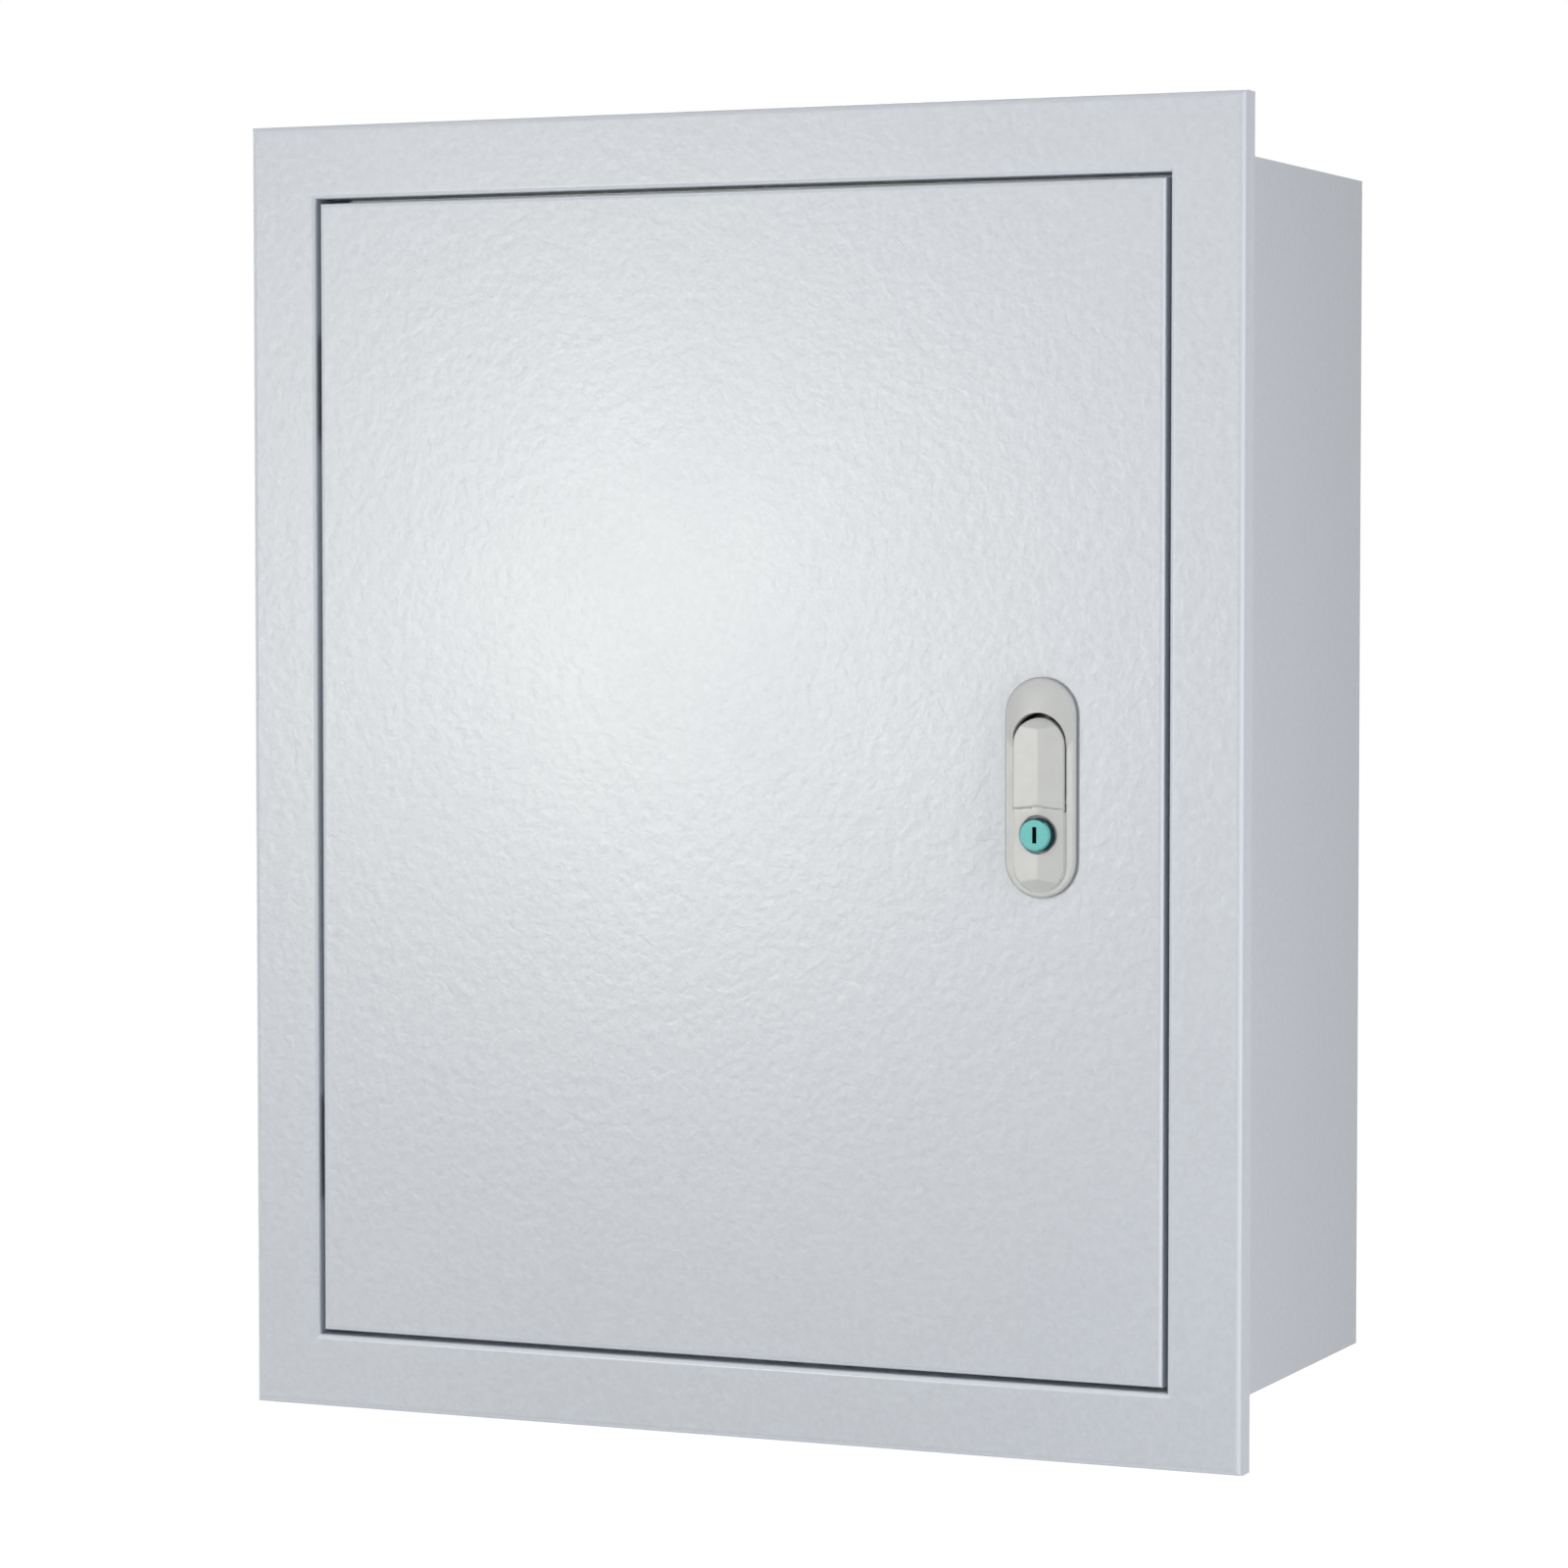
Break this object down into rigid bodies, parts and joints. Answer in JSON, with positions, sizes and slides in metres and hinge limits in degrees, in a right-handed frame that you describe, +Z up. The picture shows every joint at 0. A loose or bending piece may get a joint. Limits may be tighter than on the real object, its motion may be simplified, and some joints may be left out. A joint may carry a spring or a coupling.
{
  "type": "flush steel wall enclosure",
  "caption": "Flush-mounted sheet steel wall enclosure: folded body behind a wide trim frame, inset door on concealed pin hinges with an oval pull lock and a turning cam.",
  "frame": {"origin": "middle of the four wall fixing holes, on the outside of the back wall", "axes": "+X to the right seen from the front, +Y into the wall, +Z up; the door faces -Y"},
  "size_m": [0.44, 0.2286, 0.54],
  "materials": {
    "paint": "orange-peel powder coat, light blue grey",
    "lock_paint": "smooth painted die casting, warm light grey",
    "zinc": "bright zinc plate",
    "galvanised": "galvanised sheet with faint spangle",
    "gasket": "moulded polyurethane seal",
    "brass": "plain brass",
    "teal": "blue-green lacquered key rotor"
  },
  "bodies": {
    "cabinet": {"body_shell": "paint", "top_panel": "paint", "bottom_panel": "paint", "frame_top_rail": "paint", "frame_bottom_rail": "paint", "frame_hinge_stile": "paint", "frame_lock_stile": "paint", "frame_screws": "zinc", "frame_nuts": "zinc", "upper_hinge_bracket": "zinc", "lower_hinge_bracket": "zinc", "hinge_pins": "zinc", "mounting_plate": "galvanised", "plate_studs": "zinc", "plate_spacers": "zinc", "plate_washers": "zinc", "plate_nuts": "zinc", "earth_stud": "brass", "earth_washers": "brass", "earth_nuts": "brass"},
    "door": {"door_panel": "paint", "door_gasket": "gasket", "upper_hinge_leaf": "zinc", "lower_hinge_leaf": "zinc", "door_earth_stud": "brass", "door_earth_washers": "brass", "door_earth_nuts": "brass", "lock_bezel": "lock_paint", "lock_clamp": "zinc", "lock_screws": "zinc", "lever_pin": "zinc", "lever_spring": "zinc"},
    "lever": {"pull_lever": "lock_paint"},
    "key": {"key_rotor": "teal", "lock_cam": "zinc", "cam_washer": "zinc", "cam_nut": "zinc"}
  },
  "joints": [
    {"name": "door_hinge", "type": "hinge", "parent": "cabinet", "child": "door", "pos_m": [-0.1793, -0.2148, 0], "axis": [0, 0, -1], "range_deg": [0, 110]},
    {"name": "lever_pull", "type": "hinge", "parent": "door", "child": "lever", "pos_m": [0.1365, -0.2212, -0.007], "axis": [1, 0, 0], "range_deg": [0, 35], "stiffness_Nm_per_rad": 0.05, "springref_deg": -17.19},
    {"name": "key_turn", "type": "hinge", "parent": "door", "child": "key", "pos_m": [0.1365, -0.22, -0.02], "axis": [0, -1, 0], "range_deg": [0, 90]}
  ]
}
